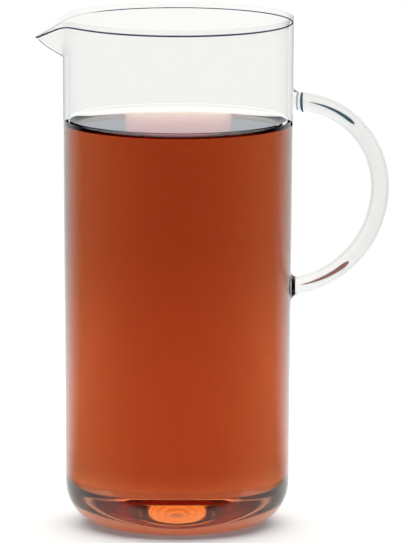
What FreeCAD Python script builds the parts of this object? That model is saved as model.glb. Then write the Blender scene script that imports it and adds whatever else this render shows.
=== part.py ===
import FreeCAD, Part
import math
import os
import Sketcher
from FreeCAD import Vector

# A tall glass jug with a pouring lip drawn out of its rim and a rod handle fused to its
# wall, and the tea in it. Millimetres. The origin is the middle of the base, +Z is up,
# the lip points to -X and the handle to +X.

doc = FreeCAD.newDocument("glass_jug")

# The driving dimensions. Each is written once here and read from the sheet elsewhere.
SIZES = (
    ("body_height", 222.5, "base to the top of the rim"),
    ("rim_diameter", 100.0, "outside of the wall, at the height of the rim"),
    ("foot_diameter", 97.0, "outside of the wall, carried down to the base"),
    ("wall_thickness", 2.2, "glass of the wall"),
    ("heel_radius", 18.5, "outside rounding between wall and base"),
    ("base_thickness", 4.6, "glass under the tea, in the middle"),
    ("floor_dish", 200.0, "radius to which the floor inside is dished"),
    ("inner_heel_radius", 22.0, "inside rounding between wall and base"),
    ("rim_edge", 0.45, "radius of the fire-polished edge, at the outside of the rim"),
    ("rim_slope", 24.0, "angle at which the inside of the rim runs out to that edge"),
    ("rim_shoulder", 5.0, "rounding where that slope leaves the inside of the wall"),
    ("lip_depth", 18.5, "how far below the rim the drawn lip begins"),
    ("lip_reach", 12.2, "how far the tip is drawn out from the wall"),
    ("lip_drop", 9.0, "how far the tip is drawn down from the rim"),
    ("lip_throat", 5.0, "how far out the lip runs level before it climbs"),
    ("lip_rise", 2.0, "how steeply the lip leaves the wall"),
    ("lip_spread", 6.0, "width over which the pull fades to each side"),
    ("lip_rounding", 1.8, "rounding of the pull in its middle"),
    ("rim_to_handle", 36.85, "rim down to the rod's centre at the upper weld"),
    ("handle_rod", 8.0, "diameter of the handle's glass rod"),
    ("handle_reach", 38.15, "wall to the rod's centre where it stands out furthest"),
    ("handle_rise", 37.3, "that point up to the upper weld"),
    ("handle_fall", 44.1, "that point down to the lower weld"),
    ("weld_radius", 3.0, "rounded foot of the rod where it is fused to the wall"),
    ("rim_to_tea", 47.5, "rim down to the tea's flat surface"),
    ("meniscus_height", 3.0, "how far the tea climbs the wall"),
    ("meniscus_angle", 75.0, "slope of the tea's edge where it meets the wall"),
)

sheet = doc.addObject("Spreadsheet::Sheet", "sizes")
for row, (alias, value, note) in enumerate(SIZES, start=1):
    sheet.set("A%d" % row, alias)
    sheet.set("B%d" % row, str(value))
    sheet.set("C%d" % row, note)
    sheet.setAlias("B%d" % row, alias)
doc.recompute()

# Heights above the base, all taken down from the rim
RIM = "sizes.body_height"
NECK = RIM + " - sizes.lip_depth"
TEA_LEVEL = RIM + " - sizes.rim_to_tea"
TEA_EDGE = TEA_LEVEL + " + sizes.meniscus_height"
HANDLE_TOP = RIM + " - sizes.rim_to_handle"
HANDLE_MIDDLE = HANDLE_TOP + " - sizes.handle_rise"
HANDLE_BOTTOM = HANDLE_MIDDLE + " - sizes.handle_fall"


def number(expression):
    return float(sheet.evalExpression(expression))


def size(alias):
    return number("sizes." + alias)


# The wall is a slim cone. These give its outside and inside radius at a height.
def outside(height):
    taper = "(sizes.rim_diameter - sizes.foot_diameter)"
    return "(sizes.foot_diameter + %s * (%s) / sizes.body_height) / 2" % (taper, height)


def inside(height):
    return outside(height) + " - sizes.wall_thickness"


# Sketcher's numbers for the points of a line or an arc and for a sketch's own two axes
START, END, CENTRE = range(1, 4)
AXIS_X, AXIS_Y = range(-1, -3, -1)
FULL_TURN = 360.0


def new_body(name):
    return doc.addObject("PartDesign::Body", name)


def upright_sketch(body, name):
    """A sketch in the plane of lip and handle, with the jug's axis as its Y axis."""
    sketch = body.newObject("Sketcher::SketchObject", name)
    plane = next(f for f in body.Origin.OriginFeatures if f.Role == "XZ_Plane")
    sketch.AttachmentSupport = (plane, "")
    sketch.MapMode = "FlatFace"
    return sketch


def line(sketch, start, end, helper=False):
    return sketch.addGeometry(Part.LineSegment(Vector(*start, 0), Vector(*end, 0)), helper)


def arc(sketch, centre, radius, first, last):
    """An arc drawn anticlockwise between two angles in radians."""
    ring = Part.Circle(Vector(*centre, 0), Vector(0, 0, 1), radius)
    return sketch.addGeometry(Part.ArcOfCircle(ring, first, last), False)


def rule(sketch, kind, *picks):
    return sketch.addConstraint(Sketcher.Constraint(kind, *picks))


def dimension(sketch, kind, name, expression, *picks):
    index = rule(sketch, kind, *picks, number(expression))
    sketch.renameConstraint(index, name)
    sketch.setExpression("Constraints." + name, expression)


def place(sketch, name, piece, point, across=None, up=None):
    """Dimensions a point from the sketch's origin."""
    if across:
        dimension(sketch, "DistanceX", name + "_x", across, AXIS_X, START, piece, point)
    if up:
        dimension(sketch, "DistanceY", name + "_y", up, AXIS_X, START, piece, point)


def turned(body, sketch, name):
    solid = body.newObject("PartDesign::Revolution", name)
    solid.Profile = sketch
    solid.ReferenceAxis = (sketch, ["V_Axis"])
    solid.Angle = FULL_TURN
    return solid


def side_line(sketch, name, radius_at, floor, heel, top, dish=None):
    """Half of a vessel's outline: flat or dished bottom, rounded heel and tapered side."""
    low, high, turn = number(floor), number(top), number(heel)
    foot, head = number(radius_at("0")), number(radius_at(top))
    centre, tilt = (foot - turn, low + turn), -math.pi / 2
    if dish:
        bend = number(dish)
        tilt += math.asin(centre[0] / (bend - turn))
        centre = (centre[0], low + bend + (bend - turn) * math.sin(tilt))
        bottom = arc(sketch, (0, low + bend), bend, -math.pi / 2, tilt)
        rule(sketch, "PointOnObject", bottom, CENTRE, AXIS_Y)
        dimension(sketch, "Radius", name + "_dish", dish, bottom)
    else:
        bottom = line(sketch, (0, low), (centre[0], low))
        rule(sketch, "Horizontal", bottom)
    corner = arc(sketch, centre, turn, tilt, 0)
    side = line(sketch, (foot, centre[1]), (head, high))
    rule(sketch, "PointOnObject", bottom, START, AXIS_Y)
    rule(sketch, "Tangent", bottom, END, corner, START)
    rule(sketch, "Tangent", corner, END, side, START)
    # A helper line from the base plane to the top carries the taper
    taper = line(sketch, (foot, 0), (head, high), True)
    rule(sketch, "PointOnObject", taper, START, AXIS_X)
    rule(sketch, "Coincident", taper, END, side, END)
    rule(sketch, "PointOnObject", side, START, taper)
    place(sketch, name + "_foot", taper, START, across=radius_at("0"))
    place(sketch, name + "_top", taper, END, across=radius_at(top), up=top)
    dimension(sketch, "Radius", name + "_heel", heel, corner)
    if low:
        place(sketch, name + "_floor", bottom, START, up=floor)
    else:
        rule(sketch, "PointOnObject", bottom, START, AXIS_X)
    return bottom, side


# The inside of the vessel: a dished floor in a rounded heel
LINING = (inside, "sizes.base_thickness", "sizes.inner_heel_radius")
DISH = "sizes.floor_dish"

# The vessel up to the height where the drawn lip begins, turned in one piece.
vessel = new_body("vessel")
section = upright_sketch(vessel, "vessel_section")
base, wall = side_line(section, "outer", outside, "0", "sizes.heel_radius", NECK)
floor, lining = side_line(section, "inner", *LINING, NECK, DISH)
middle = line(section, (0, 0), (0, size("base_thickness")))
neck = line(section, (number(outside(NECK)), number(NECK)), (number(inside(NECK)), number(NECK)))
rule(section, "Coincident", middle, START, base, START)
rule(section, "Coincident", middle, END, floor, START)
rule(section, "Coincident", neck, START, wall, END)
rule(section, "Coincident", neck, END, lining, END)
turned(vessel, section, "vessel_turned")


# The top of the wall is first turned as a plain ring. Its inside slopes out to a narrow
# round edge, so the rim pours cleanly.
def rounded(before, corner, after, radius):
    """The arc that rounds a corner, as its first point, its middle and its last point."""
    back = (before - corner).normalize()
    on = (after - corner).normalize()
    half = back.getAngle(on) / 2
    inward = (back + on).normalize()
    centre = corner + inward * (radius / math.sin(half))
    run = radius / math.tan(half)
    return corner + back * run, centre - inward * radius, corner + on * run


def rim_profile():
    """The ring's edges, up the outside, over the edge and down the inside."""
    taper = math.atan2(number(outside(RIM)) - number(outside("0")), number(RIM))
    slope = math.radians(size("rim_slope"))
    edge_radius = size("rim_edge")
    lean, half = (slope + taper) / 2, (slope - taper) / 2
    peak = number(RIM) - edge_radius + edge_radius * math.cos(lean) / math.sin(half)
    shoulder = peak - size("wall_thickness") / (math.tan(slope) - math.tan(taper))
    corners = [
        Vector(number(radius_at(repr(height))), 0, height)
        for radius_at, height in (
            (outside, number(NECK)),
            (outside, peak),
            (inside, shoulder),
            (inside, number(NECK)),
        )
    ]
    edge = rounded(*corners[:3], edge_radius)
    turn = rounded(*corners[1:], size("rim_shoulder"))
    return [
        Part.LineSegment(corners[0], edge[0]).toShape(),
        Part.Arc(*edge).toShape(),
        Part.LineSegment(edge[-1], turn[0]).toShape(),
        Part.Arc(*turn).toShape(),
        Part.LineSegment(turn[-1], corners[-1]).toShape(),
    ]


# The lip is then drawn out of the hot ring, which moves its glass outward and down.
def drawn(point):
    """Where a point of the plain ring ends up."""
    top, low = number(RIM), number(NECK)
    share = (point.z - low) / (top - low)
    if share <= 0 or point.x >= 0:
        return point
    # In its middle the lip follows a curve with four guides: it leaves the wall upright,
    # runs out almost level through the throat and then climbs to the tip.
    left = 1 - share
    weights = (left ** 3, 3 * left ** 2 * share, 3 * left * share ** 2, share ** 3)
    outs = (0, 0, size("lip_throat"), size("lip_reach"))
    heights = (low, low + size("lip_rise"), low + size("lip_rise"), top - size("lip_drop"))
    out = sum(w * g for w, g in zip(weights, outs))
    height = sum(w * g for w, g in zip(weights, heights))
    aside = math.hypot(point.y, size("lip_rounding")) - size("lip_rounding")
    fade = math.exp(-aside / size("lip_spread"))
    return Vector(point.x - out * fade, point.y, point.z + (height - point.z) * fade)


# Degrees from the lip's middle to its rows of control points, close together at the tip
LIP_ROW_ANGLES = [2 * i for i in range(8)] + [18 + 5 * i for i in range(8)]
LIP_ROW_COUNT = 8
KNOT_TOLERANCE = 1e-9


def drawn_face(edge):
    """The ring of one edge, as a free surface whose control points follow the pull."""
    ring = edge.revolve(Vector(0, 0, 0), Vector(0, 0, 1), FULL_TURN).toNurbs().Faces[0]
    surface = ring.Surface
    first_u, last_u, first_v, last_v = surface.bounds()
    surface.segment(first_u, last_u, first_v, last_v)
    surface.increaseDegree(3, 3)
    halfway = (first_u + last_u) / 2
    for angle in LIP_ROW_ANGLES:
        offset = (last_u - first_u) * angle / FULL_TURN
        for knot in {halfway - offset, halfway + offset}:
            surface.insertUKnot(knot, 1, KNOT_TOLERANCE)
    if isinstance(edge.Curve, Part.Line):
        for row in range(1, LIP_ROW_COUNT):
            knot = first_v + (last_v - first_v) * row / LIP_ROW_COUNT
            surface.insertVKnot(knot, 1, KNOT_TOLERANCE)
    for i in range(1, surface.NbUPoles + 1):
        for j in range(1, surface.NbVPoles + 1):
            surface.setPole(i, j, drawn(surface.getPole(i, j)))
    return surface.toShape()


def lip_solid():
    """The top of the wall, closed by a flat ring where it stands on the vessel."""
    level = Vector(0, 0, number(NECK))
    radii = (number(outside(NECK)), number(inside(NECK)))
    circles = [Part.Wire(Part.makeCircle(radius, level)) for radius in radii]
    seat = Part.makeFace(circles, "Part::FaceMakerBullseye")
    shell = Part.makeShell([drawn_face(edge) for edge in rim_profile()] + [seat])
    shell.sewShape()
    solid = Part.makeSolid(shell)
    if solid.Volume < 0:
        solid.reverse()
    return solid


lip = doc.addObject("Part::Feature", "drawn_lip")
lip.Shape = lip_solid()
lip.Placement = FreeCAD.Placement()

# The handle is a solid glass rod, bent to two arcs that meet where it stands out furthest.
# It is made too long, so that even its slanted ends run through the middle of the wall.
handle = new_body("handle")
bend = upright_sketch(handle, "handle_bend")
FURTHEST = outside(HANDLE_MIDDLE) + " + sizes.handle_reach"
TOO_FAR_IN = " - (sizes.wall_thickness + sizes.handle_rod) / 2"


def handle_arc(name, weld_height):
    """The arc from the furthest point, upright there, through one weld and into the wall."""
    weld = (number(outside(weld_height)), number(weld_height))
    far = (number(FURTHEST), number(HANDLE_MIDDLE))
    end = number(outside(weld_height) + TOO_FAR_IN)
    reach, rise = far[0] - weld[0], weld[1] - far[1]
    radius = math.hypot(reach, rise) ** 2 / (2 * reach)
    centre = (far[0] - radius, far[1])
    angle = math.copysign(math.acos((end - centre[0]) / radius), rise)
    piece = arc(bend, centre, radius, min(angle, 0), max(angle, 0))
    on_wall = bend.addGeometry(Part.Point(Vector(*weld, 0)), True)
    place(bend, name + "_weld", on_wall, START, outside(weld_height), weld_height)
    rule(bend, "PointOnObject", on_wall, START, piece)
    far_end, wall_end = (END, START) if rise < 0 else (START, END)
    rule(bend, "Horizontal", piece, CENTRE, piece, far_end)
    place(bend, name + "_end", piece, wall_end, across=outside(weld_height) + TOO_FAR_IN)
    return piece


lower = handle_arc("lower", HANDLE_BOTTOM)
upper = handle_arc("upper", HANDLE_TOP)
rule(bend, "Coincident", lower, END, upper, START)
place(bend, "furthest", lower, END, FURTHEST, HANDLE_MIDDLE)
doc.recompute()

rod = handle.newObject("Sketcher::SketchObject", "rod_section")
rod.AttachmentSupport = [(bend, "Edge1")]
rod.MapMode = "NormalToEdge"
circle = rod.addGeometry(
    Part.Circle(Vector(0, 0, 0), Vector(0, 0, 1), size("handle_rod") / 2), False
)
rule(rod, "Coincident", circle, CENTRE, AXIS_X, START)
dimension(rod, "Diameter", "rod", "sizes.handle_rod", circle)
doc.recompute()

bent_rod = handle.newObject("PartDesign::AdditivePipe", "bent_rod")
bent_rod.Profile = rod
bent_rod.Spine = (bend, ["Edge1", "Edge2"])
doc.recompute()

# Both ends are then cut off along a slim cone that runs up the middle of the wall.
wall_middle = doc.addObject("Part::Cone", "wall_middle")
wall_middle.setExpression("Height", RIM)
wall_middle.setExpression("Radius1", outside("0") + " - sizes.wall_thickness / 2")
wall_middle.setExpression("Radius2", outside(RIM) + " - sizes.wall_thickness / 2")
cut_rod = doc.addObject("Part::Cut", "handle_cut_to_length")
cut_rod.Base = handle
cut_rod.Tool = wall_middle
doc.recompute()

# Vessel, lip and handle are one piece of glass, and the welds of the handle are rounded.
joined = doc.addObject("Part::MultiFuse", "jug_joined")
joined.Shapes = [vessel, lip, cut_rod]
joined.Refine = False
doc.recompute()


def weld_edges(shape):
    """Numbers of the edges where the rod runs into the outside of the wall."""
    welds = [
        Vector(number(outside(height)), 0, number(height))
        for height in (HANDLE_TOP, HANDLE_BOTTOM)
    ]
    near, far = size("handle_rod") / 4, size("handle_rod")
    found = []
    for index, edge in enumerate(shape.Edges, start=1):
        # The dish has a pole on the axis, which is an edge without length
        if edge.Degenerated:
            continue
        ends_and_middle = edge.discretize(3)
        for weld in welds:
            away = [point.sub(weld).Length for point in ends_and_middle]
            if near < min(away) and max(away) < far:
                found.append(index)
    return found


jug = doc.addObject("Part::Fillet", "jug")
jug.Base = joined
jug.Edges = [
    (index, size("weld_radius"), size("weld_radius")) for index in weld_edges(joined.Shape)
]

# The tea fills the vessel against the glass, and its edge climbs the wall a little.
tea = new_body("tea")
pool = upright_sketch(tea, "tea_section")
bed, shore = side_line(pool, "tea", *LINING, TEA_EDGE, DISH)
MENISCUS = "sizes.meniscus_height / (1 - cos(sizes.meniscus_angle))"
climb = math.radians(size("meniscus_angle"))
flat_end = (
    number(inside(TEA_EDGE)) - number(MENISCUS) * math.sin(climb),
    number(TEA_LEVEL),
)
edge = arc(
    pool,
    (flat_end[0], flat_end[1] + number(MENISCUS)),
    number(MENISCUS),
    -math.pi / 2,
    climb - math.pi / 2,
)
surface = line(pool, (0, flat_end[1]), flat_end)
depth = line(pool, (0, size("base_thickness")), (0, flat_end[1]))
rule(pool, "Horizontal", surface)
rule(pool, "Tangent", surface, END, edge, START)
rule(pool, "Coincident", edge, END, shore, END)
rule(pool, "Coincident", depth, START, bed, START)
rule(pool, "Coincident", depth, END, surface, START)
rule(pool, "Vertical", depth)
place(pool, "level", surface, END, up=TEA_LEVEL)
dimension(pool, "Radius", "meniscus", MENISCUS, edge)
turned(tea, pool, "tea_turned")
doc.recompute()

# Every object has to be sound before anything is written.
for item in doc.Objects:
    if "Invalid" in item.State or "Error" in item.State:
        raise RuntimeError("%s did not compute" % item.Label)
nodes = (jug, tea)
for node in nodes:
    if node.Shape.isNull() or not node.Shape.isValid() or len(node.Shape.Solids) != 1:
        raise RuntimeError("%s is not one sound solid" % node.Label)

os.makedirs("parts", exist_ok=True)
for node in nodes:
    node.Shape.exportStep("parts/%s.step" % node.Label)
    print("%s: %.0f cubic millimetres" % (node.Label, node.Shape.Volume))
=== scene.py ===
import math

import bpy
import numpy as np
from mathutils import Matrix, Vector


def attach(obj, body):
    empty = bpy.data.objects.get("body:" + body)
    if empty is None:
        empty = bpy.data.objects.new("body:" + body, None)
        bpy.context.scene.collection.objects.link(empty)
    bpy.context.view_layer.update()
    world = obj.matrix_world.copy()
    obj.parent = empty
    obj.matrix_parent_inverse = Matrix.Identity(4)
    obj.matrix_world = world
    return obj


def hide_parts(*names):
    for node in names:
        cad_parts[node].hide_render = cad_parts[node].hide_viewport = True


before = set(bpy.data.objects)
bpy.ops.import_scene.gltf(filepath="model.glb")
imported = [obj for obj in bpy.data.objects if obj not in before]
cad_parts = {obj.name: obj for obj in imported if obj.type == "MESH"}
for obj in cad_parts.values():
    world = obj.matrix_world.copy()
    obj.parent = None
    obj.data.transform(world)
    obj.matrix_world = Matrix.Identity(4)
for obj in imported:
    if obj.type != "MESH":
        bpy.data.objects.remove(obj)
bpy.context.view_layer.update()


# The vessel: borosilicate glass, blown into a mould as one tall cup that narrows a little to a
# rounded heel and a thick base. The inside of its rim slopes out to a narrow fire-polished
# edge, and the pouring lip is drawn out of the hot rim. Sizes are in millimetres.
MM = 0.001
BODY_HEIGHT = 222.5
RIM_DIAMETER = 100.0
FOOT_DIAMETER = 97.0
WALL = 2.2
HEEL_RADIUS = 18.5
HEEL_END = -0.8
BASE_THICKNESS = 4.6
FLOOR_DISH = 200.0
INNER_HEEL_RADIUS = 22.0
INNER_WALL_START = BASE_THICKNESS + INNER_HEEL_RADIUS + 4.0
RIM_EDGE = 0.45
RIM_SLOPE = 24.0
RIM_SHOULDER = 5.0
NECK_HEIGHT = BODY_HEIGHT - 18.5
LIP_REACH = 12.2
LIP_DROP = 9.0
LIP_THROAT = 5.0
LIP_RISE = 2.0
LIP_SPREAD = 6.0
LIP_ROUNDING = 1.8
TEA_LEVEL = BODY_HEIGHT - 47.5
MENISCUS_HEIGHT = 3.0
TEA_EDGE = TEA_LEVEL + MENISCUS_HEIGHT
# The bare wall's look begins just under the tea's edge, and lower still at the back
CLEAR_FROM = TEA_EDGE - 0.1
CLEAR_BEHIND = TEA_LEVEL + 0.5
# The wall's rows and columns fit a square patch round each of the handle's two welds
HANDLE_TOP = BODY_HEIGHT - 36.85
HANDLE_MIDDLE = HANDLE_TOP - 37.3
HANDLE_BOTTOM = HANDLE_MIDDLE - 44.1
PATCH = 10.0
SIDE_STEPS = 6
# Angles from the handle round to the lip, each with the step of the columns up to it
COLUMN_RUNS = ((120, 1.3), (160, 1.2), (176, 0.8), (180, 0.4))
ROW_STEP = 6.0
LIP_ROW_STEP = 0.8
CLOSEST_ROW = 0.3
FLAT_SHARES = (0.02, 0.35, 0.7, 0.9, 1)
DISH_STEPS = 24
HEEL_STEPS = 26
EDGE_STEPS = 14
SHOULDER_STEPS = 8
SAME = 1e-6


def outside(height):
    return (FOOT_DIAMETER + (RIM_DIAMETER - FOOT_DIAMETER) * height / BODY_HEIGHT) / 2


def inside(height):
    return outside(height) - WALL


def pull(y):
    """The share of the lip's pull that reaches a place beside its middle."""
    return np.exp((LIP_ROUNDING - np.hypot(y, LIP_ROUNDING)) / LIP_SPREAD)


def drawn(points):
    """Moves points of the plain rim outward and down, as the lip is drawn out of it."""
    share = (points[:, 2] - NECK_HEIGHT) / (BODY_HEIGHT - NECK_HEIGHT)
    share = np.clip(np.where(points[:, 0] < 0, share, 0), 0, None)
    left = 1 - share
    weights = (left ** 3, 3 * left ** 2 * share, 3 * left * share ** 2, share ** 3)
    outs = (0, 0, LIP_THROAT, LIP_REACH)
    climb = NECK_HEIGHT + LIP_RISE
    heights = (NECK_HEIGHT, climb, climb, BODY_HEIGHT - LIP_DROP)
    out = sum(weight * knot for weight, knot in zip(weights, outs))
    height = sum(weight * knot for weight, knot in zip(weights, heights))
    fade = pull(points[:, 1])
    moved = points.copy()
    moved[:, 0] -= np.where(share > 0, out * fade, 0)
    moved[:, 2] += np.where(share > 0, (height - points[:, 2]) * fade, 0)
    return moved


def arc_points(centre, radius, first, last, count):
    """Points on an arc between two angles in degrees, its first end left out."""
    angles = np.radians(np.linspace(first, last, count + 1)[1:])
    return [(centre[0] + radius * math.cos(a), centre[1] + radius * math.sin(a)) for a in angles]


def side_points(radius_at, floor, heel, heights, dish=None):
    """Half of a vessel's outline, from the axis over the rounded heel and up the side."""
    out = radius_at(0) - heel
    tilt, centre = 0, (out, floor + heel)
    points = [(out * share, floor) for share in FLAT_SHARES]
    if dish:
        tilt = math.degrees(math.asin(out / (dish - heel)))
        centre = (out, floor + dish - (dish - heel) * math.cos(math.radians(tilt)))
        points = arc_points((0, floor + dish), dish, -90, tilt - 90, DISH_STEPS)
    points += arc_points(centre, heel, tilt - 90, HEEL_END, HEEL_STEPS)
    start = points[-1][1]
    heights = [start] + [height for height in heights if height > start + CLOSEST_ROW]
    return points[:-1] + [(radius_at(height), height) for height in heights]


def rounded(before, corner, after, radius, count):
    """Points of the arc that rounds a corner between two others."""
    before, corner, after = (np.array(p) for p in (before, corner, after))
    back = (before - corner) / np.linalg.norm(before - corner)
    on = (after - corner) / np.linalg.norm(after - corner)
    half = math.acos(back @ on) / 2
    centre = corner + (back + on) / np.linalg.norm(back + on) * radius / math.sin(half)
    run = radius / math.tan(half)
    first, last = (math.atan2(*reversed(corner + way * run - centre)) for way in (back, on))
    turn = (last - first + math.pi) % (2 * math.pi) - math.pi
    angles = [first + turn * i / count for i in range(count + 1)]
    return [tuple(centre + radius * np.array([math.cos(a), math.sin(a)])) for a in angles]


def rim_points():
    """Over the rim: a narrow round edge outside and a slope to the inside of the wall."""
    taper = math.atan2(outside(BODY_HEIGHT) - outside(0), BODY_HEIGHT)
    slope = math.radians(RIM_SLOPE)
    lean, half = (slope + taper) / 2, (slope - taper) / 2
    peak = BODY_HEIGHT - RIM_EDGE + RIM_EDGE * math.cos(lean) / math.sin(half)
    shoulder = peak - WALL / (math.tan(slope) - math.tan(taper))
    corners = [(outside(NECK_HEIGHT), NECK_HEIGHT), (outside(peak), peak),
               (inside(shoulder), shoulder), (inside(NECK_HEIGHT), NECK_HEIGHT)]
    edge = rounded(*corners[:3], RIM_EDGE, EDGE_STEPS)
    turn = rounded(*corners[1:], RIM_SHOULDER, SHOULDER_STEPS)
    between = [tuple(p) for p in np.linspace(edge[-1], turn[0], 4)[1:-1]]
    return edge + between + turn


def patch_steps():
    """Offsets across a weld's patch, at equal angles as seen from its middle."""
    turns = [math.radians(45 * i / SIDE_STEPS) for i in range(-SIDE_STEPS, SIDE_STEPS + 1)]
    return [PATCH * math.tan(t) for t in turns]


def column_angles():
    """Angles round the axis, from the handle to the lip and back, close where it matters."""
    welds = [math.degrees(math.asin(y / outside(HANDLE_MIDDLE))) for y in patch_steps()]
    half = [a for a in welds if a >= 0]
    for last, step in COLUMN_RUNS:
        count = round((last - half[-1]) / step)
        half += list(np.linspace(half[-1], last, count + 1)[1:])
    return half + [360 - a for a in reversed(half[1:-1])]


def filled(heights, step):
    """The heights in order, with more between them so that none is further than a step."""
    done = [heights[0]]
    for height in heights[1:]:
        count = max(1, math.ceil((height - done[-1]) / step - SAME))
        done += list(np.linspace(done[-1], height, count + 1)[1:])
    return done


def vessel_sides():
    """Radius and height of each row: up the outside and over the rim, then down the inside."""
    rim = rim_points()
    outer = [HEEL_RADIUS]
    for weld in (HANDLE_BOTTOM, HANDLE_TOP):
        patch = [weld + step for step in patch_steps()]
        outer = filled(outer + [patch[0]], ROW_STEP) + patch[1:]
    outer = filled(outer + [NECK_HEIGHT], ROW_STEP)
    outer += filled([NECK_HEIGHT, rim[0][1]], LIP_ROW_STEP)[1:-1]
    inner = filled([INNER_WALL_START, TEA_EDGE, NECK_HEIGHT], ROW_STEP)
    inner += filled([NECK_HEIGHT, rim[-1][1]], LIP_ROW_STEP)[1:-1]
    up = side_points(outside, 0, HEEL_RADIUS, outer) + rim
    down = side_points(inside, BASE_THICKNESS, INNER_HEEL_RADIUS, inner, FLOOR_DISH)
    return up, list(reversed(down))


def level_ring(radius, height, angles):
    return np.stack([radius * np.cos(angles), radius * np.sin(angles),
                     np.full(len(angles), height)], 1)


def cross_section(middle, radius, across, turns):
    """A ring round a rod's middle, with across in the plane of lip and handle."""
    beside = np.array([0, 1, 0])
    return np.array(middle) + radius * (
        np.cos(turns)[:, None] * across + np.sin(turns)[:, None] * beside
    )


def new_material(name):
    material = bpy.data.materials.new(name)
    material.use_nodes = True
    material.node_tree.nodes.clear()
    return material


def node(tree, kind, links=None, values=None, **settings):
    """Adds one node, with its settings, the values of its inputs and what feeds the rest."""
    made = tree.nodes.new(kind)
    for name, setting in settings.items():
        setattr(made, name, setting)
    for name, value in (values or {}).items():
        made.inputs[name].default_value = value
    for name, source in (links or {}).items():
        tree.links.new(source, made.inputs[name])
    return made


def linear(code, strength=1.0):
    """An sRGB hex colour, made as strong as a light is, as the linear numbers of a socket."""
    parts = [int(code[i:i + 2], 16) / 255 for i in (1, 3, 5)]
    parts = [p / 12.92 if p <= 0.04045 else ((p + 0.055) / 1.055) ** 2.4 for p in parts]
    return tuple(strength * part for part in parts) + (1,)


EIGHT_TURNS = np.radians(np.arange(0, 360, 45))


class Skin:
    """Collects the points and faces of one closed mesh, and the materials they take."""

    def __init__(self):
        self.points = []
        self.faces = []
        self.slots = []
        self.materials = []

    def slot(self, material):
        self.materials.append(material)
        return len(self.materials) - 1

    def add(self, ring):
        first = len(self.points)
        self.points += [tuple(p) for p in ring]
        return list(range(first, len(self.points)))

    def face(self, *corners, slot=0):
        self.faces.append(corners)
        self.slots.append(slot)

    def band(self, lower, upper, skip=(), slot=0):
        for i in range(len(lower)):
            if i not in skip:
                j = (i + 1) % len(lower)
                self.face(lower[i], lower[j], upper[j], upper[i], slot=slot)

    def ends(self, first_row, last_row, heights, slot):
        """Closes a turned form at the axis, below and above, with a fan of faces each."""
        first, last = self.add([(0, 0, height) for height in heights])
        for i in range(len(first_row)):
            j = (i + 1) % len(first_row)
            self.face(first, first_row[j], first_row[i])
            self.face(last, last_row[i], last_row[j], slot=slot)

    def tube(self, middles, radii, slot):
        """A slender closed tube along points of the plane through lip and handle."""
        loops = []
        for k, (middle, radius) in enumerate(zip(middles, radii)):
            before, after = middles[max(0, k - 1)], middles[min(len(middles) - 1, k + 1)]
            along = np.array(after) - np.array(before)
            across = np.array([-along[2], 0, along[0]]) / np.linalg.norm(along)
            loops.append(self.add(cross_section(middle, radius, across, EIGHT_TURNS)))
        for a, b in zip(loops, loops[1:]):
            self.band(b, a, slot=slot)
        self.face(*loops[0], slot=slot)
        self.face(*reversed(loops[-1]), slot=slot)

    def piece(self, name):
        mesh = bpy.data.meshes.new(name)
        mesh.from_pydata([Vector(p) * MM for p in self.points], [], self.faces)
        mesh.polygons.foreach_set("material_index", self.slots)
        mesh.shade_smooth()
        mesh.validate()
        for material in self.materials:
            mesh.materials.append(material)
        piece = bpy.data.objects.new(name, mesh)
        bpy.context.scene.collection.objects.link(piece)
        return piece


# Borosilicate glass, blown and polished by the flame: clear, colourless and mirror-smooth. It
# bends the light strongly against the air and only a little where the tea wets it.
GLASS_IOR = 1.473
TEA_IOR = 1.333
CLEAR = linear("#FCFEFD")


def borosilicate(name, ior):
    material = new_material(name)
    tree = material.node_tree
    shader = node(tree, "ShaderNodeBsdfPrincipled", values={
        "Base Color": CLEAR, "Roughness": 0.0, "IOR": ior, "Transmission Weight": 1.0
    })
    node(tree, "ShaderNodeOutputMaterial", {"Surface": shader.outputs[0]})
    return material


# The same glass in the bare wall is so thin that light goes nearly straight through it, so it is
# drawn without bending and has painted shade: its colour darkens where the eye looks along it.
# Most of that painted shade is on the outer face.
EDGE_SHARPNESS = 6.0


def thin_borosilicate(name, edge):
    material = new_material(name)
    tree = material.node_tree
    # Painted shade: the see-through colour turns to the edge tone where the wall is seen edge on
    facing = node(tree, "ShaderNodeLayerWeight", values={"Blend": 0.5}).outputs["Facing"]
    painted_edge_shade = node(tree, "ShaderNodeMath", {0: facing}, {1: EDGE_SHARPNESS}, operation="POWER")
    tone = node(tree, "ShaderNodeMixRGB", {"Fac": painted_edge_shade.outputs[0]},
                {"Color1": linear("#FBFBFB"), "Color2": linear(edge)})
    through = node(tree, "ShaderNodeBsdfTransparent", {"Color": tone.outputs[0]})
    node(tree, "ShaderNodeOutputMaterial", {"Surface": through.outputs[0]})
    return material


def add_vessel(skin, angles):
    """The vessel's closed skin, with a hole for each weld, and the rows of its outside."""
    up, down = vessel_sides()
    outline = up + down
    rows = [skin.add(drawn(level_ring(radius, height, angles))) for radius, height in outline]
    behind = [i for i, a in enumerate(angles) if math.sin(a) >= 0]
    before = [i for i, a in enumerate(angles) if math.sin(a) < 0]
    patch_columns = [i % len(angles) for i in range(-SIDE_STEPS, SIDE_STEPS)]
    for k in range(len(rows) - 1):
        start, end = outline[k][1], outline[k + 1][1]
        outer = k < len(up)
        in_patch = any(abs(start + SAME - weld) < PATCH for weld in (HANDLE_BOTTOM, HANDLE_TOP))
        skip = patch_columns if outer and in_patch else []
        slot = PLAIN
        if not outer and start < TEA_EDGE + SAME:
            slot = WETTED
        elif min(start, end) > CLEAR_FROM:
            slot = OUTER if outer else INNER
        if outer and CLEAR_BEHIND < start < CLEAR_FROM:
            skin.band(rows[k], rows[k + 1], skip + before, OUTER)
            skip = skip + behind
        skin.band(rows[k], rows[k + 1], skip, slot)
    skin.ends(rows[0], rows[-1], (0, BASE_THICKNESS), WETTED)
    return {round(height, 6): row for (_, height), row in zip(up, rows)}


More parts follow.
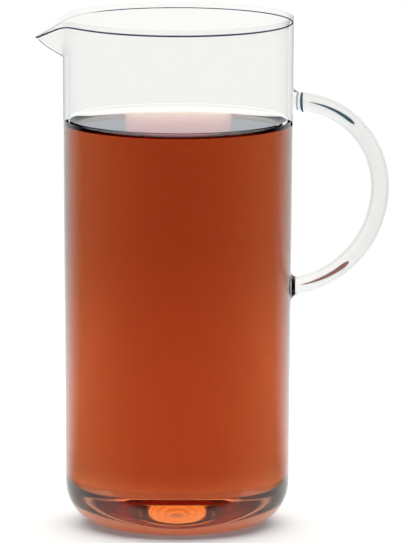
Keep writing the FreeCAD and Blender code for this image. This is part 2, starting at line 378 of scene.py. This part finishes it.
jug_skin = Skin()
PLAIN = jug_skin.slot(borosilicate("borosilicate_glass", GLASS_IOR))
WETTED = jug_skin.slot(borosilicate("borosilicate_glass_wetted", GLASS_IOR / TEA_IOR))
# Painted edge shade: blue grey on the outer wall, nearly white on the lining
OUTER = jug_skin.slot(thin_borosilicate("borosilicate_glass_wall", "#BCC4C8"))
INNER = jug_skin.slot(thin_borosilicate("borosilicate_glass_lining", "#F4F7F8"))
column_turns = np.radians(column_angles())
outer_rows = add_vessel(jug_skin, column_turns)


# The handle: one solid rod of the same glass, bent hot to two arcs and fused to the wall at
# both ends in the flame. The glass runs out into a rounded foot at each weld, so rod and wall
# have no joint.
ROD_RADIUS = 4.0
HANDLE_REACH = 38.15
WELD_RADIUS = 3.0
ROD_START = WELD_RADIUS * 1.25
ROD_STEP = 1.0
ROUND_STEPS = 8 * SIDE_STEPS
SPREAD_SHARES = (0.3, 0.55, 0.75, 0.9)
FOOT_START = 0.02
FOOT_TURNS = (7, 16, 27, 40, 54, 70, 90)


def handle_arc(weld_height):
    """Centre and radius of the arc through one weld, upright where it is furthest out."""
    far = outside(HANDLE_MIDDLE) + HANDLE_REACH
    reach = far - outside(weld_height)
    radius = math.hypot(reach, weld_height - HANDLE_MIDDLE) ** 2 / (2 * reach)
    return far - radius, radius


def upward(weld_height):
    return 1 if weld_height > HANDLE_MIDDLE else -1


def foot_ring(weld_height, above, turns):
    """A ring of the weld's foot, at one height above the wall, with its rounding."""
    centre, radius = handle_arc(weld_height)
    left = max(0, WELD_RADIUS - above)
    spread = ROD_RADIUS + WELD_RADIUS - math.sqrt(WELD_RADIUS ** 2 - left ** 2)
    run = outside(weld_height) + above - centre
    rise = math.sqrt(radius ** 2 - run ** 2) * upward(weld_height)
    y = spread * np.sin(turns)
    z = HANDLE_MIDDLE + rise + spread * np.cos(turns) * upward(weld_height)
    x = np.sqrt(outside(z) ** 2 - y ** 2) + above
    return np.stack([x, y, z], 1)


def rod_rings(turns):
    """Rings round the bent rod, from just above the upper weld to just above the lower."""
    rings = []
    for weld, ends in ((HANDLE_TOP, (1, 0)), (HANDLE_BOTTOM, (0, 1))):
        centre, radius = handle_arc(weld)
        start = math.acos((outside(weld) + ROD_START - centre) / radius)
        shares = np.linspace(*ends, round(radius * start / ROD_STEP) + 1)
        if weld == HANDLE_BOTTOM:
            shares = shares[1:]
        for angle in upward(weld) * start * shares:
            outward = np.array([math.cos(angle), 0, math.sin(angle)])
            middle = np.array([centre, 0, HANDLE_MIDDLE]) + radius * outward
            rings.append(cross_section(middle, ROD_RADIUS, outward, turns))
    return rings


def patch_edge(weld, turns, rows):
    """The wall's points round the edge of a weld's patch, one for each turn."""
    steps = patch_steps()
    edge = []
    for turn in turns:
        y, z = math.sin(turn), upward(weld) * math.cos(turn)
        scale = PATCH / max(abs(y), abs(z))
        column = min(range(len(steps)), key=lambda i: abs(steps[i] - y * scale))
        row = min(steps, key=lambda step: abs(step - z * scale))
        edge.append(rows[round(weld + row, 6)][column - SIDE_STEPS])
    return edge


def add_weld(skin, weld, turns, rows):
    """Loops of one weld, from the patch's edge along the wall and up its rounded foot."""
    edge = patch_edge(weld, turns, rows)
    outer = np.array([skin.points[i] for i in edge])
    foot = foot_ring(weld, FOOT_START, turns)
    loops = [edge]
    for share in SPREAD_SHARES:
        loop = outer + (foot - outer) * share
        loop[:, 0] = np.sqrt(outside(loop[:, 2]) ** 2 - loop[:, 1] ** 2)
        loops.append(skin.add(loop))
    aboves = [WELD_RADIUS * (1 - math.cos(math.radians(turn))) for turn in FOOT_TURNS]
    return loops + [skin.add(foot_ring(weld, above, turns)) for above in [FOOT_START] + aboves]


def add_handle(skin, rows):
    turns = np.radians(np.arange(ROUND_STEPS) * 360 / ROUND_STEPS)
    upper, lower = (add_weld(skin, weld, turns, rows) for weld in (HANDLE_TOP, HANDLE_BOTTOM))
    chain = upper + [skin.add(ring) for ring in rod_rings(turns)] + list(reversed(lower))
    for k, (a, b) in enumerate(zip(chain, chain[1:])):
        slot = PLAIN
        if k <= len(SPREAD_SHARES):
            slot = OUTER
        elif len(upper) - 2 <= k <= len(chain) - len(lower):
            slot = ROD
        skin.band(b, a, slot=slot)


# Drawn borosilicate rod, smooth from the fire: clear and a touch grey, with a little of the
# bright streaks that a solid round draws from the room.
STREAK_SHARE = 0.12


def rod_borosilicate():
    material = new_material("borosilicate_glass_rod")
    tree = material.node_tree
    solid = node(tree, "ShaderNodeBsdfPrincipled", values={
        "Base Color": linear("#F2F4F4"), "Roughness": 0.0, "IOR": GLASS_IOR,
        "Transmission Weight": 1.0
    })
    through = node(tree, "ShaderNodeBsdfTransparent", values={"Color": linear("#F2F2F2")})
    both = node(tree, "ShaderNodeMixShader", {1: through.outputs[0], 2: solid.outputs[0]},
                {0: STREAK_SHARE})
    node(tree, "ShaderNodeOutputMaterial", {"Surface": both.outputs[0]})
    return material


ROD = jug_skin.slot(rod_borosilicate())
add_handle(jug_skin, outer_rows)


# The lines in the glass: a tight round in clear glass turns the light away and reads as a dark
# line. These slender tinted forms inside the glass are painted shade and painted reflection in
# place of the lines that the fire-polished edge, the lip's keel, the root of the upper weld and
# the solid rod show.
LINE_HEIGHT = 220.0
LINE_INSET = 0.6
LINE_RADIUS = 0.3
LINE_TAPER = 0.1
LINE_RISE = 2.1
LINE_THINNING = 0.8
KEEL_HEIGHTS = np.linspace(NECK_HEIGHT + 3, BODY_HEIGHT - 1.2, 24)
KEEL_RADIUS = 0.14
KEEL_INSET = 0.45
ROOT_HEIGHTS = np.linspace(HANDLE_TOP - 4.8, HANDLE_TOP + 3.8, 12)
ROOT_OUT = 53.3
ROOT_BOW = 0.03
ROOT_RADIUS = 0.62
STREAK_POINTS = 25


# Painted lines for fire-polished borosilicate seen along a tight round: a thin clear tint,
# painted blue grey as the shade of the dark room, and painted warm as the reflection of the tea.
def painted_line_material(name, tone):
    material = new_material(name)
    tree = material.node_tree
    through = node(tree, "ShaderNodeBsdfTransparent", values={"Color": linear(tone)})
    node(tree, "ShaderNodeOutputMaterial", {"Surface": through.outputs[0]})
    return material


def add_rim_line(skin, angles):
    """A slender ring of painted shade inside the rim that follows the lip and thins out behind it.
    """
    cos, sin = np.cos(angles), np.sin(angles)
    lip = np.where(cos < 0, pull(outside(LINE_HEIGHT) * sin), 0)
    thin = 1 - LINE_THINNING * np.clip((-cos - 0.6) / 0.2, 0, 1)
    thick = (LINE_RADIUS - LINE_TAPER * sin) * np.where(sin > 0, thin, 1)
    loops = []
    for turn in EIGHT_TURNS:
        across = outside(LINE_HEIGHT) - LINE_INSET * (1 - lip / 2) + thick * math.cos(turn)
        height = LINE_HEIGHT + LINE_RISE * lip + thick * math.sin(turn)
        loops.append(skin.add(drawn(level_ring(across, height, angles))))
    for a, b in zip(loops, loops[1:] + loops[:1]):
        skin.band(a, b, slot=LINE)


def add_keel_line(skin):
    """A painted hair line of shade under the lip, from the neck to its tip."""
    keel = drawn(np.array([(KEEL_INSET - outside(h), 0, h) for h in KEEL_HEIGHTS]))
    skin.tube([tuple(p) for p in keel], [KEEL_RADIUS] * len(keel), LINE)


def add_root_line(skin):
    """A bowed painted line of shade across the root of the upper weld."""
    root = [(ROOT_OUT + ROOT_BOW * (h - HANDLE_TOP) ** 2, 0, h) for h in ROOT_HEIGHTS]
    shares = [(k + 1) / (len(root) + 1) for k in range(len(root))]
    skin.tube(root, [ROOT_RADIUS * math.sin(math.pi * share) ** 0.4 for share in shares], COOL)


def add_painted_streak(skin, weld, near, far, thick, offset, slot):
    """A painted streak in one arm of the rod, standing for a dark line it shows: slender at the
    weld, blunt at its far end.
    """
    centre, radius = handle_arc(weld)
    start = math.acos((outside(weld) - centre) / radius)
    middles, radii = [], []
    for share in np.linspace(0, 1, STREAK_POINTS):
        run = near + (far - near) * share
        angle = upward(weld) * (start - run / radius)
        out = radius + offset * share
        middles.append((centre + out * math.cos(angle), 0, HANDLE_MIDDLE + out * math.sin(angle)))
        radii.append(thick * (0.04 + 0.96 * share ** 0.7) * min(1, (1.02 - share) / 0.15) ** 0.5)
    skin.tube(middles, radii, slot)


# Painted shade and painted reflection: these tints colour the lines and streaks in the glass
LINE = jug_skin.slot(painted_line_material("painted_edge_line", "#8A93A3"))
COOL = jug_skin.slot(painted_line_material("painted_rod_streak_cool", "#839EAC"))
WARM = jug_skin.slot(painted_line_material("painted_rod_streak_warm", "#C4A9A4"))
add_rim_line(jug_skin, column_turns)
add_keel_line(jug_skin)
add_root_line(jug_skin)
# Painted streaks in the rod: blue grey painted shade in the upper arm, a warm painted reflection of
# the tea in the lower
add_painted_streak(jug_skin, HANDLE_TOP, near=7.0, far=29.0, thick=0.85, offset=0.35, slot=COOL)
add_painted_streak(jug_skin, HANDLE_BOTTOM, near=4.5, far=27.5, thick=1.1, offset=0.8, slot=WARM)

jug = jug_skin.piece("glass_jug")
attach(jug, "root")
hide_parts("jug")


# The tea: a clear amber drink that fills the vessel against the glass. It is poured in and only
# rests there, with a flat surface that climbs the wall a little at its edge.
GAP = 0.05
FLOOR_GAP = 0.01
MENISCUS_ANGLE = 75.0
MENISCUS_STEPS = 20
SURFACE_SHARES = (0.95, 0.8, 0.5, 0.2, 0.02)
COLUMN_STEP = 1.2
WET, OPEN = 0, 1


def add_tea(skin):
    angles = np.radians(np.arange(0, 360, COLUMN_STEP))
    heights = filled([INNER_WALL_START, TEA_EDGE], ROW_STEP)
    walls = [(r - GAP, h + FLOOR_GAP) for r, h in
             side_points(inside, BASE_THICKNESS, INNER_HEEL_RADIUS, heights, FLOOR_DISH)]
    walls[-1] = (walls[-1][0], TEA_EDGE)
    climb = MENISCUS_ANGLE
    radius = MENISCUS_HEIGHT / (1 - math.cos(math.radians(climb)))
    end = walls[-1][0] - radius * math.sin(math.radians(climb))
    meniscus = [(end, TEA_LEVEL)]
    meniscus += arc_points((end, TEA_LEVEL + radius), radius, -90, climb - 90, MENISCUS_STEPS)
    flat = [(end * share, TEA_LEVEL) for share in SURFACE_SHARES]
    outline = walls + list(reversed(meniscus))[1:] + flat
    rows = [skin.add(level_ring(radius, height, angles)) for radius, height in outline]
    for k in range(len(rows) - 1):
        skin.band(rows[k], rows[k + 1], slot=WET if k < len(walls) - 1 else OPEN)
    skin.ends(rows[0], rows[-1], (outline[0][1], TEA_LEVEL), OPEN)


# Brewed tea, clear and still: the light that crosses it loses its blue and then its green, so
# it is orange where it is thin and brown red in the middle. Only its open surface mirrors and
# bends the light by itself, as the glass does so where the two touch.
TEA_TONE = linear("#E39727")
TEA_STRENGTH = 50.0


def brewed_tea():
    material = new_material("brewed_tea")
    tree = material.node_tree
    water = node(tree, "ShaderNodeBsdfPrincipled", values={
        "Base Color": linear("#FFFFFF"), "Roughness": 0.0, "IOR": TEA_IOR,
        "Transmission Weight": 1.0
    })
    through = node(tree, "ShaderNodeBsdfTransparent")
    free = node(tree, "ShaderNodeAttribute", attribute_name="open_surface")
    mixed = node(tree, "ShaderNodeMixShader", {
        0: free.outputs["Fac"], 1: through.outputs[0], 2: water.outputs[0]
    })
    depth = node(tree, "ShaderNodeVolumeAbsorption", values={
        "Density": TEA_STRENGTH, "Color": TEA_TONE
    })
    node(tree, "ShaderNodeOutputMaterial", {"Surface": mixed.outputs[0], "Volume": depth.outputs[0]})
    return material


tea_skin = Skin()
tea_skin.slot(brewed_tea())
add_tea(tea_skin)
tea = tea_skin.piece("tea_drink")
tea.data.polygons.foreach_set("material_index", [0] * len(tea_skin.slots))
mark = tea.data.attributes.new("open_surface", "FLOAT", "FACE")
mark.data.foreach_set("value", [float(slot == OPEN) for slot in tea_skin.slots])
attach(tea, "root")
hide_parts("tea")


# The table: a sheet of cast white acrylic, matt, with light and shade painted into it. A painted
# glow in its own emission lightens it, more in painted pools of light at the sides near the jug,
# and its white dims away from the jug as painted falloff of light. It is white in a patch under
# the jug and in a sector that widens to the back. To the sides and the front it is painted dark
# as shade, which is what gives the glass and the tea their dark edges.
FLOOR = -0.0002
TABLE_HALF = 30
# Painted glow: the sheet's own emission, more in painted pools of light at the sides near the jug
GLOW = 0.1
SIDE_GLOW = 0.12
# Painted falloff of light: far from the jug the white dims to this share
PAINTED_FAR_DIMMING = 0.78
# Painted shade: the sheet's colour where it is dark, to the sides and the front
PAINTED_SHADE_SHEET = linear("#0B0D12")
WHITE_SHEET = linear("#FFFFFF")
# Where it runs from none to full, in metres from the jug's axis
FRONT_EDGE = (-0.068, -0.056)
SIDE_EDGE = (0.115, 0.104)
FAR_FADE = (0.9, 0.3)
SIDE_POOL = (0.08, 0.22)
# And for the sector, how far towards the back a direction points, from 0 sideways to 1 back
SECTOR = (0.3, 0.85)


def sector(tree, source):
    """Full in the sector that opens to the back, none at the sides and the front."""
    level = node(tree, "ShaderNodeVectorMath", {0: source}, {1: (1, 1, 0)}, operation="MULTIPLY")
    heading = node(tree, "ShaderNodeVectorMath", {0: level.outputs[0]}, operation="NORMALIZE")
    parts = node(tree, "ShaderNodeSeparateXYZ", {"Vector": heading.outputs[0]})
    share = node(tree, "ShaderNodeMapRange", {"Value": parts.outputs["Y"]},
                 {"From Min": SECTOR[0], "From Max": SECTOR[1]}, interpolation_type="SMOOTHSTEP")
    return share.outputs[0]


def acrylic_with_painted_light():
    material = new_material("acrylic_with_painted_light")
    tree = material.node_tree
    place = node(tree, "ShaderNodeTexCoord").outputs["Object"]
    parts = node(tree, "ShaderNodeSeparateXYZ", {"Vector": place})
    away = node(tree, "ShaderNodeMath", {0: parts.outputs["X"]}, operation="ABSOLUTE").outputs[0]
    distance = node(tree, "ShaderNodeVectorMath", {0: place}, operation="LENGTH").outputs["Value"]
    front, under, near, beside = (
        node(tree, "ShaderNodeMapRange", {"Value": source}, {"From Min": first, "From Max": last},
             interpolation_type="SMOOTHSTEP").outputs[0]
        for source, (first, last) in ((parts.outputs["Y"], FRONT_EDGE), (away, SIDE_EDGE),
                                      (distance, FAR_FADE), (away, SIDE_POOL))
    )
    patch = node(tree, "ShaderNodeMath", {0: under, 1: front}, operation="MULTIPLY").outputs[0]
    white = node(tree, "ShaderNodeMath", {0: sector(tree, place), 1: patch}, operation="MAXIMUM")
    # Painted falloff of light and painted pools of light, by distance from the jug
    painted_falloff = node(tree, "ShaderNodeMapRange", {"Value": near}, {"To Min": PAINTED_FAR_DIMMING})
    level = node(tree, "ShaderNodeMath", {0: white.outputs[0], 1: painted_falloff.outputs[0]},
                 operation="MULTIPLY").outputs[0]
    painted_pools = node(tree, "ShaderNodeMath", {0: beside, 1: near}, operation="MULTIPLY").outputs[0]
    strength = node(tree, "ShaderNodeMapRange", {"Value": painted_pools},
                    {"To Min": GLOW, "To Max": GLOW + SIDE_GLOW}, interpolation_type="SMOOTHSTEP")
    # Painted shade: dark to the sides and the front, white where the sheet is lit
    tone = node(tree, "ShaderNodeMixRGB", {"Fac": level},
                {"Color1": PAINTED_SHADE_SHEET, "Color2": WHITE_SHEET})
    dull = node(tree, "ShaderNodeMixRGB", {"Fac": level},
                {"Color1": PAINTED_SHADE_SHEET, "Color2": (1 - GLOW, 1 - GLOW, 1 - GLOW, 1)})
    paper = node(tree, "ShaderNodeBsdfDiffuse", {"Color": dull.outputs[0]})
    glow = node(tree, "ShaderNodeEmission",
                {"Color": tone.outputs[0], "Strength": strength.outputs[0]})
    lit = node(tree, "ShaderNodeAddShader", {0: paper.outputs[0], 1: glow.outputs[0]})
    node(tree, "ShaderNodeOutputMaterial", {"Surface": lit.outputs[0]})
    return material


table_mesh = bpy.data.meshes.new("table")
corners = [(x * TABLE_HALF, y * TABLE_HALF, FLOOR) for x, y in ((-1, -1), (1, -1), (1, 1), (-1, 1))]
table_mesh.from_pydata(corners, [], [(0, 1, 2, 3)])
table = bpy.data.objects.new("table", table_mesh)
bpy.context.scene.collection.objects.link(table)
table_mesh.materials.append(acrylic_with_painted_light())


# The room: a white wall behind the jug and a large soft light overhead. Its sides and the
# camera's side are dark. The light has a dark ring near its crown and a warm crown, which the
# thick base gathers into a dark lens with an orange one in its middle.
TOP_LIGHT = linear("#FFFFFD", 2.6)
CROWN_LIGHT = linear("#FFE29A", 2.5)
BACK_LIGHT = linear("#F0F8FF", 1.28)
DARK_SIDE = linear("#273F59")
# Where each runs from none to full, by how steeply a direction points up, from 0 level to 1
OVERHEAD = (0.6, 0.8)
OUTSIDE_RING = (0.965, 0.93)
CROWN = (0.971, 0.98)

world = bpy.data.worlds.new("studio")
bpy.context.scene.world = world
world.use_nodes = True
tree = world.node_tree
tree.nodes.clear()
direction = node(tree, "ShaderNodeTexCoord").outputs["Generated"]
upright = node(tree, "ShaderNodeSeparateXYZ", {"Vector": direction}).outputs["Z"]
overhead, outside_ring, crown = (
    node(tree, "ShaderNodeMapRange", {"Value": upright}, {"From Min": first, "From Max": last},
         interpolation_type="SMOOTHSTEP").outputs[0]
    for first, last in (OVERHEAD, OUTSIDE_RING, CROWN)
)
over = node(tree, "ShaderNodeMath", {0: overhead, 1: outside_ring}, operation="MULTIPLY")
sides = node(tree, "ShaderNodeMixRGB", {"Fac": sector(tree, direction)},
             {"Color1": DARK_SIDE, "Color2": BACK_LIGHT})
whole = node(tree, "ShaderNodeMixRGB", {"Fac": over.outputs[0], "Color1": sides.outputs[0]},
             {"Color2": TOP_LIGHT})
crowned = node(tree, "ShaderNodeMixRGB", {"Fac": crown, "Color1": whole.outputs[0]},
               {"Color2": CROWN_LIGHT})
back = node(tree, "ShaderNodeBackground", {"Color": crowned.outputs[0]})
node(tree, "ShaderNodeOutputWorld", {"Surface": back.outputs[0]})


# The camera: a long lens far off, at the photograph's viewing angle, which is about nine degrees
# above level and square to lip and handle. Places and distances are in metres.
AIM = Vector((0.01141, 0, 0.11077))
DISTANCE = 3.5
ELEVATION = math.radians(9.0)
ROLL = math.radians(0.16)
SENSOR = 36
IMAGE_HEIGHT = 543
LENS_PIXELS = 8057
BOUNCES = 32
camera_data = bpy.data.cameras.new("camera")
camera_data.sensor_width = SENSOR
camera_data.lens = LENS_PIXELS * SENSOR / IMAGE_HEIGHT
camera_data.clip_end = 100
camera = bpy.data.objects.new("camera", camera_data)
bpy.context.scene.collection.objects.link(camera)
camera.location = AIM + DISTANCE * Vector((0, -math.cos(ELEVATION), math.sin(ELEVATION)))
camera.rotation_euler = (Matrix.Rotation(math.pi / 2 - ELEVATION, 4, "X")
                         @ Matrix.Rotation(ROLL, 4, "Z")).to_euler()
bpy.context.scene.camera = camera
bpy.context.scene.view_settings.view_transform = "Standard"
# Light crosses many faces of clear glass before it reaches the camera
cycles = bpy.context.scene.cycles
cycles.max_bounces = BOUNCES
cycles.transmission_bounces = BOUNCES
cycles.transparent_max_bounces = BOUNCES
cycles.glossy_bounces = BOUNCES // 2
